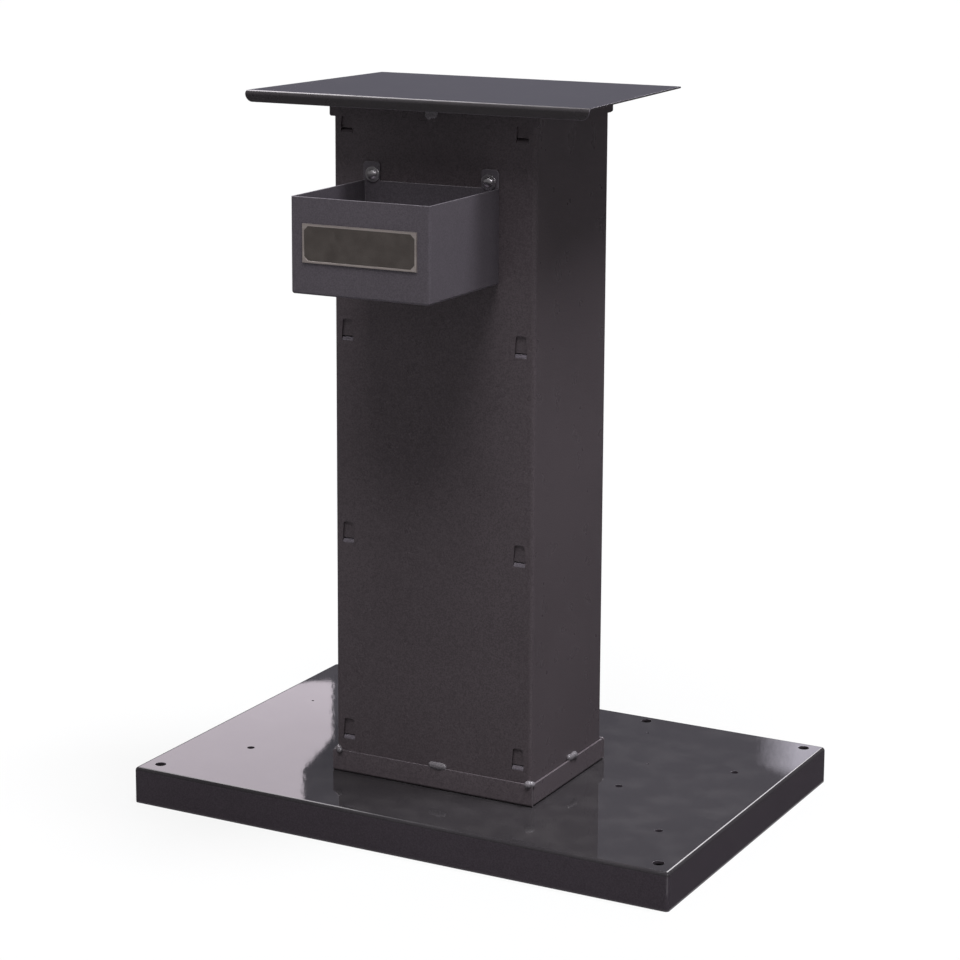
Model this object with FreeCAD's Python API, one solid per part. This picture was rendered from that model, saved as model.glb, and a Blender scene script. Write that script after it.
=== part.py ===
import FreeCAD, Part
import math
import os

# Bench grinder stand: a folded sheet-steel column, held in a shallow pan at its foot and
# another at its head, between a wide folded base plate and a lipped top plate. A parts tray
# hangs on the front. Two rows of lanced tabs lock the column's front to its corner stiffeners.
#
# Millimetres. +X runs to the right along the front, +Y to the back and +Z up.
# The origin is on the floor, under the middle of the whole stand: halfway between the base
# plate's sides, and halfway from the tray's front to the base plate's back.

# ---- base plate: an upside-down pan with welded corners ----
base_width = 687.0
base_depth = 468.0
base_height = 43.5
base_sheet = 3.0
base_bend_inside = 1.5

# ---- what stands on the base is set out from one line, a little left of its middle ----
centre_line_x = -2.5
column_front_margin = 110.0

# ---- holes in the base plate ----
anchor_hole = 13.0
anchor_side_inset = 22.0
anchor_front_inset = 23.5
anchor_rear_inset = 17.0
rear_row_hole_offset = 114.5
bracket_hole = 9.0
bracket_apex_inset = 160.0
bracket_outer_inset = 61.0
bracket_pitch = 217.5
bracket_setback = 13.0
left_hole_inset = 83.5
left_hole_setback = 126.0
pilot_hole = 3.5
left_pilot_inset = 55.5
left_pilot_setback = 151.0
right_pilot_inset = 162.0
right_pilot_setback = 160.5
rear_pilot_inset = 208.5
rear_pilot_setback = 57.5

# ---- column: one sheet folded to the front, both sides and a return down each back edge ----
column_width = 255.0
column_depth = 185.0
column_length = 793.5
column_sheet = 2.5
column_bend_inside = 2.5
return_width = 27.0

# ---- lanced tabs, bent inwards from the front through slots in the corner stiffeners ----
tab_rows = 4
tab_foot_margin = 37.5
tab_head_margin = 43.0
tab_side_inset = 17.0
tab_root_width = 14.5
tab_tip_width = 11.0
tab_window_height = 25.5
tab_kerf = 0.6
tab_corner = 2.5

# ---- corner stiffeners: angles behind the front's edges ----
stiffener_sheet = 2.0
stiffener_front_leg = 36.0
stiffener_side_leg = 30.0
stiffener_end_gap = 8.0
stiffener_corner_play = 1.0
stiffener_least_bend = 1.0
stiffener_leg_corner = 2.0
slot_play = 1.0

# ---- foot pan and head pan ----
pan_sheet = 2.5
pan_clearance = 0.8
pan_corner_gap = 1.0
pan_lip_corner = 2.5
foot_pan_height = 26.5
head_pan_height = 26.5

# ---- top plate: its sides draw in towards the back, and both ends sit a little off the centre line ----
top_front_width = 428.0
top_front_offset = -2.0
top_rear_width = 391.5
top_rear_offset = 1.0
top_depth = 274.0
top_front_overhang = 46.0
top_sheet = 2.0
top_bend_inside = 3.0
top_lip_height = 13.0
top_lip_corner = 9.5

# ---- parts tray: it lies between the corner stiffeners, so that its nuts clear them ----
tray_left_gap = 1.2
tray_right_gap = 6.3
tray_depth = 158.5
tray_height = 106.0
tray_sheet = 2.0
tray_bend_inside = 1.0
tray_drop = 94.0
ear_width = 21.0
ear_height = 21.0
ear_corner = 4.0
tray_screw_inset = 12.0
tray_screw_rise = 7.0

# ---- blank nameplate on the tray's front ----
nameplate_side_margin = 15.0
nameplate_height = 42.5
nameplate_thickness = 1.6
nameplate_drop = 28.5
nameplate_rim = 2.4
nameplate_recess = 0.6
nameplate_chamfer = 5.0

# ---- rear cover ----
cover_sheet = 2.0
cover_side_margin = 5.0
cover_end_gap = 1.5
cover_corner = 6.0
cover_screw_inset = 14.0
cover_screw_end = 25.0
cover_screws_per_side = 3

# ---- bolts and studs through the pans, on a rectangle about the column's middle ----
joint_span_x = 150.0
joint_span_y = 90.0
bolt_length = 16.0
stud_length = 15.0

# ---- tack welds on the foot pan's lips, and plug welds through the head pan's ----
foot_tack_length = 24.0
foot_tack_radius = 5.0
front_tack_offset = 8.0
side_tack_offset = 11.0
corner_tack_radius = 6.0
plug_hole = 9.0
plug_button = 17.0
plug_button_rise = 3.5
plug_crown = 10.0
plug_drop = 16.5

# ---- fasteners: thread, hole, hexagon across flats, head, nut and washer ----
FASTENERS = {
    "M8": dict(thread=8.0, hole=9.0, flats=13.0, head=5.3, nut=6.8, washer=16.0, washer_thick=1.6),
    "M6": dict(thread=6.0, hole=6.6, flats=10.0, head=3.6, nut=5.0, washer=18.0, washer_thick=1.6),
    "M5": dict(thread=5.0, hole=5.5, flats=8.0, head=3.0, nut=4.0, washer=10.0, washer_thick=1.0),
}
tray_screw_head = 12.0
tray_screw_length = 16.0
cover_screw_head = 9.5
cover_screw_length = 12.0
screw_crown_inset = 1.5
nut_play = 0.1

Vec = FreeCAD.Vector
RIGHT = Vec(1, 0, 0)
BACK = Vec(0, 1, 0)
UP = Vec(0, 0, 1)
ORIGIN = Vec(0, 0, 0)

# ---- levels and faces that follow from the sizes, with y = 0 at the base plate's middle ----
column_foot_z = base_height + pan_sheet
column_head_z = column_foot_z + column_length
plate_under_z = column_head_z + pan_sheet
foot_lip_z = base_height + foot_pan_height
head_lip_z = plate_under_z - head_pan_height
column_front_y = -base_depth / 2 + column_front_margin
column_rear_y = column_front_y + column_depth
column_middle_y = column_front_y + column_depth / 2
column_bend_outside = column_bend_inside + column_sheet
pan_bend_inside = pan_clearance
pan_reach = pan_clearance + pan_sheet
tray_overhang = max(tray_depth + nameplate_thickness - column_front_margin, 0.0)
tray_rim_z = column_head_z - tray_drop
tray_width = column_width - 2 * (column_sheet + stiffener_front_leg) - tray_left_gap - tray_right_gap
tray_middle_x = centre_line_x + (tray_left_gap - tray_right_gap) / 2
nameplate_width = tray_width - 2 * nameplate_side_margin


# ---------------------------------------------------------------- general shapes

def block(x, y, z):
    """A box between a low and a high value along each axis."""
    return Part.makeBox(x[1] - x[0], y[1] - y[0], z[1] - z[0], Vec(x[0], y[0], z[0]))


def about(middle, size):
    """The low and high values of a size laid about a middle."""
    return (middle - size / 2, middle + size / 2)


def moved(shape, *offset):
    """A copy of the shape, moved."""
    return shape.translated(Vec(*offset))


def turned(shape, axis, degrees):
    """A copy of the shape, turned about an axis through the origin."""
    return shape.rotated(ORIGIN, axis, degrees)


def fused(*shapes):
    """The shapes as one solid, without seams in its flat faces."""
    return shapes[0].fuse(list(shapes[1:])).removeSplitter()


def without(shape, cutters):
    """The shape with every cutter taken out of it."""
    return shape.cut(Part.makeCompound(cutters)).removeSplitter()


def straight_along(edge, axis):
    """True if the edge is a straight line along the axis."""
    is_line = edge.Curve.TypeId == "Part::GeomLine"
    return is_line and abs(edge.tangentAt(edge.FirstParameter).dot(axis)) > 0.999


def rounded(shape, radius, chosen):
    """The shape with the chosen edges rounded."""
    return shape.makeFillet(radius, [edge for edge in shape.Edges if chosen(edge)])


def prism(points, push):
    """The flat outline through the points, pushed into a solid."""
    outline = Part.makePolygon([Vec(*point) for point in points + points[:1]])
    return Part.Face(outline).extrude(push)


def rod(diameter, length, foot):
    """A round bar standing on a foot point."""
    return Part.makeCylinder(diameter / 2, length, Vec(*foot), UP)


def bore_back(diameter, length, x, y, z):
    """A round bar laid along +Y from a point, to cut a hole with."""
    return Part.makeCylinder(diameter / 2, length, Vec(x, y, z), BACK)


def ring(outside, inside, height):
    """A flat ring standing on the origin."""
    return rod(outside, height, (0, 0, 0)).cut(rod(inside, height, (0, 0, 0)))


def hexagon(flats, height):
    """A six-sided prism standing on the origin."""
    reach = flats / math.sqrt(3)
    corners = [(reach * math.cos(math.radians(60 * side)), reach * math.sin(math.radians(60 * side)), 0)
               for side in range(6)]
    return prism(corners, UP * height)


def group(shapes):
    """Separate solids kept together as one part."""
    return Part.makeCompound(shapes)


# ---------------------------------------------------------------- folded sheet

def upright_bar(width, depth, height, corner):
    """A solid bar standing on the origin, with its uprights rounded."""
    bar = block(about(0, width), about(0, depth), (0, height))
    return rounded(bar, corner, lambda edge: straight_along(edge, UP))


def eased_top(body, bend):
    """The body with the edges of its top face rounded to one bend."""
    top = body.BoundBox.ZMax
    return rounded(body, bend, lambda edge: edge.BoundBox.ZMin > top - bend / 100)


def lip(length, height, sheet, inside, corner):
    """A lip along X, turned up from a sheet: its outer face is y = 0 and its underside z = 0.

    The sheet it is turned from starts at y = inside + sheet. The lip's ends are rounded above.
    """
    turn = inside + sheet

    def bend(radius, start, end):
        middle = turn - radius * math.sqrt(0.5)
        return Part.Arc(Vec(0, *start), Vec(0, middle, middle), Vec(0, *end)).toShape()

    def line(start, end):
        return Part.makeLine(Vec(0, *start), Vec(0, *end))

    profile = Part.Wire([
        bend(turn, (turn, 0), (0, turn)),
        line((0, turn), (0, height)),
        line((0, height), (sheet, height)),
        line((sheet, height), (sheet, turn)),
        bend(inside, (sheet, turn), (turn, sheet)),
        line((turn, sheet), (turn, 0)),
    ])
    strip = moved(Part.Face(profile).extrude(RIGHT * length), -length / 2, 0, 0)
    return rounded(strip, corner, lambda edge: (straight_along(edge, BACK)
                                                and edge.BoundBox.ZMin > height - sheet / 100))


def lipped_pan(height):
    """A pan about the column's end, with a lip on each side and open seams at its corners."""
    turn = pan_bend_inside + pan_sheet
    width = column_width + 2 * pan_reach
    depth = column_depth + 2 * pan_reach
    flat = block(about(0, width - 2 * turn), about(0, depth - 2 * turn), (0, pan_sheet))
    front = moved(lip(width, height, pan_sheet, pan_bend_inside, pan_lip_corner), 0, -depth / 2, 0)
    side_length = depth - 2 * (pan_sheet + pan_corner_gap)
    root_length = depth - 2 * (turn + pan_corner_gap)
    side = lip(side_length, height, pan_sheet, pan_bend_inside, pan_lip_corner)
    root = turn + pan_corner_gap
    notches = [block(span, (-pan_sheet, turn), (0, root))
               for span in ((-side_length / 2, -root_length / 2), (root_length / 2, side_length / 2))]
    left = moved(turned(without(side, notches), UP, -90), -width / 2, 0, 0)
    pan = fused(flat, front, turned(front, UP, 180), left, turned(left, UP, 180))
    return without(pan, [rod(FASTENERS["M8"]["hole"], pan_sheet, (x, y, 0)) for x, y in joint_points()])


def angle(length, front_leg, side_leg, sheet, inside, corner):
    """An upright angle whose outer corner is the Z axis, with legs along +X and +Y."""
    turn = inside + sheet
    bar = fused(lip(length, front_leg, sheet, inside, corner),
                block(about(0, length), (turn, side_leg), (0, sheet)))
    return moved(turned(bar, BACK, 90), 0, 0, length / 2)


# ---------------------------------------------------------------- where things go

def on_column(shape):
    """A shape drawn about the column's middle line, put in its place."""
    return moved(shape, centre_line_x, column_middle_y, 0)


def joint_points():
    """Where bolts and studs pass the pans, about the column's middle."""
    return [(x, y) for x in about(0, joint_span_x) for y in about(0, joint_span_y)]


def tab_levels():
    """The height of each row of tabs: where the bend of a tab starts."""
    pitch = (column_length - tab_foot_margin - tab_head_margin) / (tab_rows - 1)
    return [column_foot_z + tab_foot_margin + row * pitch for row in range(tab_rows)]


def tab_lines():
    """The middle of each column of tabs, about the column's middle."""
    return about(0, column_width - 2 * tab_side_inset)


def tray_screw_points():
    """Where the tray's screws pass its back wall, as x and z."""
    level = tray_rim_z + tray_screw_rise
    return [(x, level) for x in about(tray_middle_x, tray_width - 2 * tray_screw_inset)]


def cover_span_z():
    """The lower and upper end of the rear cover, between the two pans."""
    return (foot_lip_z + cover_end_gap, head_lip_z - cover_end_gap)


def cover_screw_points():
    """Where the rear cover's screws go, about the column's middle, as x and z."""
    low, high = cover_span_z()
    pitch = (high - low - 2 * cover_screw_end) / (cover_screws_per_side - 1)
    return [(x, low + cover_screw_end + step * pitch)
            for x in about(0, column_width - 2 * cover_screw_inset)
            for step in range(cover_screws_per_side)]


def base_holes():
    """Every hole in the base plate, as diameter, x and y."""
    half_width = base_width / 2
    half_depth = base_depth / 2
    anchor_x = half_width - anchor_side_inset
    front_y = anchor_front_inset - half_depth
    rear_y = half_depth - anchor_rear_inset
    holes = [(anchor_hole, side * anchor_x, y) for side in (-1, 1) for y in (front_y, rear_y)]
    holes.append((anchor_hole, rear_row_hole_offset, rear_y))
    holes.append((bracket_hole, half_width - bracket_apex_inset, -bracket_setback))
    holes += [(bracket_hole, half_width - bracket_outer_inset, y)
              for y in about(-bracket_setback, bracket_pitch)]
    holes.append((bracket_hole, left_hole_inset - half_width, left_hole_setback - half_depth))
    holes.append((pilot_hole, left_pilot_inset - half_width, half_depth - left_pilot_setback))
    holes.append((pilot_hole, half_width - right_pilot_inset, half_depth - right_pilot_setback))
    holes.append((pilot_hole, half_width - rear_pilot_inset, half_depth - rear_pilot_setback))
    bolt_hole = FASTENERS["M8"]["hole"]
    holes += [(bolt_hole, centre_line_x + x, column_middle_y + y) for x, y in joint_points()]
    return holes


# ---------------------------------------------------------------- the stand's parts

def base_plate():
    """The wide foot: a pan upside down, its welded corners ground round, drilled through its top."""
    turn = base_bend_inside + base_sheet
    outside = upright_bar(base_width, base_depth, base_height, turn)
    inside = block(about(0, base_width - 2 * base_sheet), about(0, base_depth - 2 * base_sheet),
                   (0, base_height - base_sheet))
    drills = [rod(diameter, base_height, (x, y, base_height / 2)) for diameter, x, y in base_holes()]
    return without(eased_top(outside, turn), [eased_top(inside, base_bend_inside)] + drills)


def foot_pan():
    """The pan that the column stands in, bolted to the base plate."""
    return on_column(moved(lipped_pan(foot_pan_height), 0, 0, base_height))


def head_pan():
    """The same kind of pan turned over, on the column's head: three of its lips have a plug weld's hole."""
    pan = moved(turned(lipped_pan(head_pan_height), RIGHT, 180), 0, 0, plate_under_z)
    return on_column(without(pan, on_head_lips(plug())))


def top_plate():
    """The plate that carries the grinder: a flat sheet with its front edge turned down."""
    flat_front_y = top_bend_inside + top_sheet
    front_left, front_right = about(top_front_offset, top_front_width)
    rear_left, rear_right = about(top_rear_offset, top_rear_width)
    flat = prism([(front_left, flat_front_y, 0), (front_right, flat_front_y, 0),
                  (rear_right, top_depth, 0), (rear_left, top_depth, 0)], UP * -top_sheet)
    edge = lip(top_front_width, top_lip_height, top_sheet, top_bend_inside, top_lip_corner)
    edge = moved(turned(edge, BACK, 180), top_front_offset, 0, 0)
    return moved(fused(flat, edge), centre_line_x, column_front_y - top_front_overhang,
                 plate_under_z + top_sheet)


def tab_blank(grow):
    """The outline of a tab before it is bent, standing on z = 0 in the front sheet.

    It is narrower at its free end and grown by a margin on its sides and top.
    """
    root = tab_root_width / 2 + grow
    tip = tab_tip_width / 2 + grow
    top = tab_window_height - tab_kerf + grow
    blank = prism([(-root, 0, 0), (root, 0, 0), (tip, 0, top), (-tip, 0, top)], BACK * column_sheet)
    return rounded(blank, tab_corner, lambda edge: (straight_along(edge, BACK)
                                                    and edge.BoundBox.ZMin > top / 2))


def bent_tab():
    """One tab, bent inwards: its bend starts at z = 0 and its outer face is y = 0."""
    turn = column_bend_outside
    middle_line = column_bend_inside + column_sheet / 2
    reach = turn + tab_window_height - tab_kerf - math.pi / 2 * middle_line
    across = about(0, 2 * tab_root_width)
    bend = Part.makeCylinder(turn, tab_root_width, Vec(-tab_root_width / 2, turn, 0), RIGHT)
    bend = bend.cut(Part.makeCylinder(column_bend_inside, tab_root_width,
                                      Vec(-tab_root_width / 2, turn, 0), RIGHT))
    bend = bend.common(block(across, (0, turn), (0, turn)))
    root = tab_root_width / 2
    tip = tab_tip_width / 2
    flat = prism([(-root, turn, column_bend_inside), (root, turn, column_bend_inside),
                  (tip, reach, column_bend_inside), (-tip, reach, column_bend_inside)], UP * column_sheet)
    flat = rounded(flat, tab_corner, lambda edge: (straight_along(edge, UP)
                                                   and edge.BoundBox.YMin > (turn + reach) / 2))
    return fused(bend, flat)


def column_wrap():
    """The column's front, sides and returns in one sheet, with its tabs bent in."""
    width, depth, length = column_width, column_depth, column_length
    outside = upright_bar(width, depth, length, column_bend_outside)
    inside = upright_bar(width - 2 * column_sheet, depth - 2 * column_sheet, length, column_bend_inside)
    mouth = block(about(0, width - 2 * return_width), (0, depth), (0, length))
    tube = on_column(moved(without(outside, [inside, mouth]), 0, 0, column_foot_z))

    places = [(centre_line_x + line, level) for line in tab_lines() for level in tab_levels()]
    windows = [moved(tab_blank(tab_kerf), x, column_front_y, z) for x, z in places]
    tabs = [moved(bent_tab(), x, column_front_y, z) for x, z in places]
    tray_holes = [bore_back(FASTENERS["M6"]["hole"], column_sheet, x, column_front_y, z)
                  for x, z in tray_screw_points()]
    cover_holes = [bore_back(FASTENERS["M5"]["hole"], column_sheet,
                             centre_line_x + x, column_rear_y - column_sheet, z)
                   for x, z in cover_screw_points()]
    return fused(without(tube, windows + tray_holes + cover_holes), *tabs)


def left_corner_stiffener():
    """The angle behind the left edge of the column's front, slotted for the tabs."""
    length = column_length - 2 * stiffener_end_gap
    inside = max(column_bend_inside + stiffener_corner_play - stiffener_sheet, stiffener_least_bend)
    bar = angle(length, stiffener_front_leg, stiffener_side_leg, stiffener_sheet, inside,
                stiffener_leg_corner)
    bar = moved(bar, centre_line_x - column_width / 2 + column_sheet, column_front_y + column_sheet,
                column_foot_z + stiffener_end_gap)
    slot_x = about(centre_line_x + tab_lines()[0], tab_root_width + 2 * slot_play)
    slot_y = (column_front_y, column_front_y + column_sheet + stiffener_sheet)
    slots = [block(slot_x, slot_y, (level - slot_play, level + column_bend_outside + slot_play))
             for level in tab_levels()]
    return without(bar, slots)


def right_corner_stiffener():
    """The same angle, handed for the right edge."""
    return left_corner_stiffener().mirror(Vec(centre_line_x, 0, 0), RIGHT)


def rear_cover():
    """The flat cover over the column's open back."""
    low, high = cover_span_z()
    width = column_width - 2 * cover_side_margin
    sheet = block(about(0, width), (0, cover_sheet), (low, high))
    sheet = rounded(sheet, cover_corner, lambda edge: straight_along(edge, BACK))
    holes = [bore_back(FASTENERS["M5"]["hole"], cover_sheet, x, 0, z) for x, z in cover_screw_points()]
    return moved(without(sheet, holes), centre_line_x, column_rear_y, 0)


def parts_tray():
    """An open box on the column's front, with an ear at each end of its back wall."""
    rear_y = 0.0
    outside = block(about(0, tray_width), (-tray_depth, rear_y), (0, tray_height))
    inside = block(about(0, tray_width - 2 * tray_sheet), (tray_sheet - tray_depth, rear_y - tray_sheet),
                   (tray_sheet, tray_height))

    def folded(shape, bend):
        front_y = shape.BoundBox.YMin
        foot_z = shape.BoundBox.ZMin
        near = bend / 100
        return rounded(shape, bend, lambda edge: ((edge.BoundBox.YMax < front_y + near
                                                   and straight_along(edge, UP))
                                                  or edge.BoundBox.ZMax < foot_z + near))

    box = folded(outside, tray_bend_inside + tray_sheet).cut(folded(inside, tray_bend_inside))
    ears = []
    for middle in about(0, tray_width - ear_width):
        ear = block(about(middle, ear_width), (-tray_sheet, rear_y),
                    (tray_height / 2, tray_height + ear_height))
        ears.append(rounded(ear, ear_corner, lambda edge: (straight_along(edge, BACK)
                                                           and edge.BoundBox.ZMin > tray_height)))
    tray = moved(fused(box, *ears), tray_middle_x, column_front_y, tray_rim_z - tray_height)
    holes = [bore_back(FASTENERS["M6"]["hole"], tray_sheet, x, column_front_y - tray_sheet, z)
             for x, z in tray_screw_points()]
    return without(tray, holes)


def nameplate_blank():
    """A thin plate with a raised rim about a sunk field with cut corners, and nothing on it."""
    front_y = column_front_y - tray_depth - nameplate_thickness
    middle_z = tray_rim_z - nameplate_drop - nameplate_height / 2
    plate = block(about(0, nameplate_width), (0, nameplate_thickness), about(0, nameplate_height))
    half_width = nameplate_width / 2 - nameplate_rim
    half_height = nameplate_height / 2 - nameplate_rim
    cut = nameplate_chamfer
    corners = [(half_width - cut, half_height), (half_width, half_height - cut)]
    corners += [(x, -z) for x, z in reversed(corners)]
    corners += [(-x, z) for x, z in reversed(corners)]
    field = prism([(x, 0, z) for x, z in corners], BACK * nameplate_recess)
    return moved(plate.cut(field), tray_middle_x, front_y, middle_z)


# ---------------------------------------------------------------- fasteners

def hex_bolt(size, length):
    """A hexagon-head bolt, its head below z = 0 and its shank above."""
    head = moved(hexagon(size["flats"], size["head"]), 0, 0, -size["head"])
    return fused(head, rod(size["thread"], length, (0, 0, 0)))


def pan_head_screw(size, head_diameter, length):
    """A screw with a coned head below z = 0 and its shank above."""
    radius = head_diameter / 2
    rim = size["head"] - screw_crown_inset
    crown = Part.makeCone(radius - screw_crown_inset, radius, screw_crown_inset,
                          Vec(0, 0, -size["head"]), UP)
    return fused(crown, rod(head_diameter, rim, (0, 0, -rim)), rod(size["thread"], length, (0, 0, 0)))


def nut(size):
    """A hexagon nut standing on z = 0."""
    bore = rod(size["thread"] + 2 * nut_play, size["nut"], (0, 0, 0))
    return hexagon(size["flats"], size["nut"]).cut(bore)


def washer(size):
    """A flat washer lying on z = 0."""
    return ring(size["washer"], size["hole"], size["washer_thick"])


def at_joints(shape, level):
    """A copy of the shape at each of the four bolt places, at one level."""
    return group([on_column(moved(shape, x, y, level)) for x, y in joint_points()])


def facing_back(shape):
    """A shape drawn along +Z, laid along +Y."""
    return turned(shape, RIGHT, -90)


def foot_bolts():
    """The bolts that hold the foot pan on the base plate, put in from below."""
    size = FASTENERS["M8"]
    return at_joints(hex_bolt(size, bolt_length), base_height - base_sheet)


def foot_bolt_washers():
    """A washer under each nut."""
    return at_joints(washer(FASTENERS["M8"]), column_foot_z)


def foot_bolt_nuts():
    """The nuts inside the column's foot."""
    size = FASTENERS["M8"]
    return at_joints(nut(size), column_foot_z + size["washer_thick"])


def top_plate_studs():
    """Studs welded under the top plate, down through the head pan."""
    size = FASTENERS["M8"]
    return at_joints(rod(size["thread"], stud_length, (0, 0, 0)), plate_under_z - stud_length)


def stud_washers():
    """A washer under each stud's nut."""
    size = FASTENERS["M8"]
    return at_joints(washer(size), column_head_z - size["washer_thick"])


def stud_nuts():
    """The nuts inside the column's head."""
    size = FASTENERS["M8"]
    return at_joints(nut(size), column_head_z - size["washer_thick"] - size["nut"])


def at_tray_screws(shape, y):
    """A copy of the shape at each tray screw, laid along +Y from one plane."""
    return group([moved(facing_back(shape), x, y, z) for x, z in tray_screw_points()])


def tray_screws():
    """The two screws that hold the tray by its ears."""
    size = FASTENERS["M6"]
    front = column_front_y - tray_sheet - size["washer_thick"]
    return at_tray_screws(pan_head_screw(size, tray_screw_head, tray_screw_length), front)


def tray_washers():
    """A wide washer under each tray screw's head."""
    size = FASTENERS["M6"]
    return at_tray_screws(washer(size), column_front_y - tray_sheet - size["washer_thick"])


def tray_nuts():
    """The tray screws' nuts, inside the column."""
    return at_tray_screws(nut(FASTENERS["M6"]), column_front_y + column_sheet)


def at_cover_screws(shape, y):
    """A copy of the shape at each cover screw, laid along +Y from one plane."""
    return group([moved(facing_back(shape), centre_line_x + x, y, z) for x, z in cover_screw_points()])


def cover_screws():
    """The screws that hold the rear cover, put in from behind."""
    screw = turned(pan_head_screw(FASTENERS["M5"], cover_screw_head, cover_screw_length), RIGHT, 180)
    return at_cover_screws(screw, column_rear_y + cover_sheet)


def cover_weld_nuts():
    """The nuts welded inside the column's returns."""
    size = FASTENERS["M5"]
    return at_cover_screws(nut(size), column_rear_y - column_sheet - size["nut"])


# ---------------------------------------------------------------- welds

def dab(foot_radius, crown_radius, height):
    """A round dab of weld standing on the origin, narrower at its crown."""
    return Part.makeCone(foot_radius, crown_radius, height)


def bead(length, radius):
    """A quarter-round weld bead along X, tapered at its ends, in the corner of y = 0 and z = 0."""
    half = length / 2
    core = Part.makeCylinder(radius, length - 2 * radius, Vec(radius - half, 0, 0), RIGHT)
    ends = [Part.makeCone(radius, radius / 2, radius, Vec(side * (half - radius), 0, 0), RIGHT * side)
            for side in (-1, 1)]
    return fused(core, *ends).common(block(about(0, length), (-radius, 0), (0, radius)))


def foot_tack_welds():
    """Beads on the foot pan's front and side lips, and a dab at each front corner."""
    bar = bead(foot_tack_length, foot_tack_radius)
    side = turned(bar, UP, 90)
    welds = [moved(bar, front_tack_offset, -column_depth / 2, foot_lip_z)]
    welds.append(moved(side, column_width / 2, side_tack_offset, foot_lip_z))
    welds.append(moved(turned(side, UP, 180), -column_width / 2, side_tack_offset, foot_lip_z))
    column_block = upright_bar(column_width, column_depth, column_head_z, column_bend_outside)
    corner_dab = dab(corner_tack_radius, corner_tack_radius / 2, corner_tack_radius)
    for x in about(0, column_width):
        inward = math.copysign(column_bend_inside, -x)
        place = (x + inward, column_bend_inside - column_depth / 2, foot_lip_z)
        welds.append(moved(corner_dab, *place).cut(column_block))
    return group([on_column(weld) for weld in welds])


def plug():
    """What fills a plug weld's hole in a lip, standing on the column's wall at z = 0."""
    return rod(plug_hole, pan_reach, (0, 0, 0))


def on_head_lips(shape):
    """Copies of a shape drawn along +Z, laid outwards from the column's walls on the head pan's lips."""
    level = plate_under_z - plug_drop
    front = moved(turned(shape, RIGHT, 90), 0, -column_depth / 2, level)
    right = moved(turned(shape, BACK, 90), column_width / 2, 0, level)
    left = moved(turned(shape, BACK, -90), -column_width / 2, 0, level)
    return [front, right, left]


def head_tack_welds():
    """Plug welds through the head pan's front and side lips, each with a button outside."""
    button = moved(dab(plug_button / 2, plug_crown / 2, plug_button_rise), 0, 0, pan_reach)
    return group([on_column(weld) for weld in on_head_lips(fused(plug(), button))])


PARTS = [
    base_plate, foot_pan, foot_bolts, foot_bolt_washers, foot_bolt_nuts, foot_tack_welds,
    column_wrap, left_corner_stiffener, right_corner_stiffener, rear_cover, cover_screws, cover_weld_nuts,
    head_pan, head_tack_welds, top_plate, top_plate_studs, stud_washers, stud_nuts,
    parts_tray, tray_screws, tray_washers, tray_nuts, nameplate_blank,
]

os.makedirs("parts", exist_ok=True)
for part in PARTS:
    moved(part(), 0, tray_overhang / 2, 0).exportStep(f"parts/{part.__name__}.step")
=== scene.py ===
"""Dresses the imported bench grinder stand: painted sheet, zinc fasteners, weld beads and a blank nameplate."""
import logging
import math
from dataclasses import dataclass
from enum import Enum
from typing import Callable, Sequence

import bpy
from mathutils import Matrix, Vector


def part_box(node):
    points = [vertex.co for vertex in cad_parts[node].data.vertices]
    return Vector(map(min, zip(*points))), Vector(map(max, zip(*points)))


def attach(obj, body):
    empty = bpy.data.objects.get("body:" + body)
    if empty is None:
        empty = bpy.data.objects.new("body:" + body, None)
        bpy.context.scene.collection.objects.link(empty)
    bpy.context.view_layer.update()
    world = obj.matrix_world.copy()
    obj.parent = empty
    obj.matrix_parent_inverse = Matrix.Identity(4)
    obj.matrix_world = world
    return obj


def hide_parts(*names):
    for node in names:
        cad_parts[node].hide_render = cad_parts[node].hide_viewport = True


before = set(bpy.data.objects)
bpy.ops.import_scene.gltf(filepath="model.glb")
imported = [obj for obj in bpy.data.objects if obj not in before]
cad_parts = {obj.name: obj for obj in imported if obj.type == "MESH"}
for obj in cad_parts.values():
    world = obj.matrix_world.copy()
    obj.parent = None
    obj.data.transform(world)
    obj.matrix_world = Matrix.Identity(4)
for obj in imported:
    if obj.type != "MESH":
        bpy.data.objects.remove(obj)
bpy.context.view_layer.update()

NODES: dict[str, bpy.types.Object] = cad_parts
LOG = logging.getLogger("grinder_stand")

MM = 0.001
NEAR = 1e-6
ORIGIN = (0.0, 0.0, 0.0)
SQUARE_ON = 0.9
QUARTER_TURN = math.radians(90)

Triple = tuple[float, float, float]
Colour = Triple
Span = tuple[float, float]
Piece = bpy.types.Object
Socket = bpy.types.NodeSocket
Face = bpy.types.MeshPolygon
Node = bpy.types.Node


class Rays(Enum):
    """Which rays see a thing that stands in the studio."""

    ALL = "all"
    REFLECTED = "reflected"


class Facing(Enum):
    """The way the head of a fastener looks, as the turn about the X axis that brings +Z there."""

    FRONT = QUARTER_TURN
    BACK = -QUARTER_TURN


class Element(Enum):
    """The kinds of mesh element that can be selected: edit mode's name and the mesh's name for them."""

    POINTS = ("VERT", "vertices")
    EDGES = ("EDGE", "edges")
    FACES = ("FACE", "polygons")


# ---------------- shader graphs


MIX_SHARE, MIX_FIRST, MIX_SECOND, MIX_RESULT = 0, 6, 7, 2
WHOLE: Span = (0.0, 1.0)
NOISE_BODY: Span = (0.3, 0.7)
NOISE_CORE: Span = (0.36, 0.64)


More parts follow.
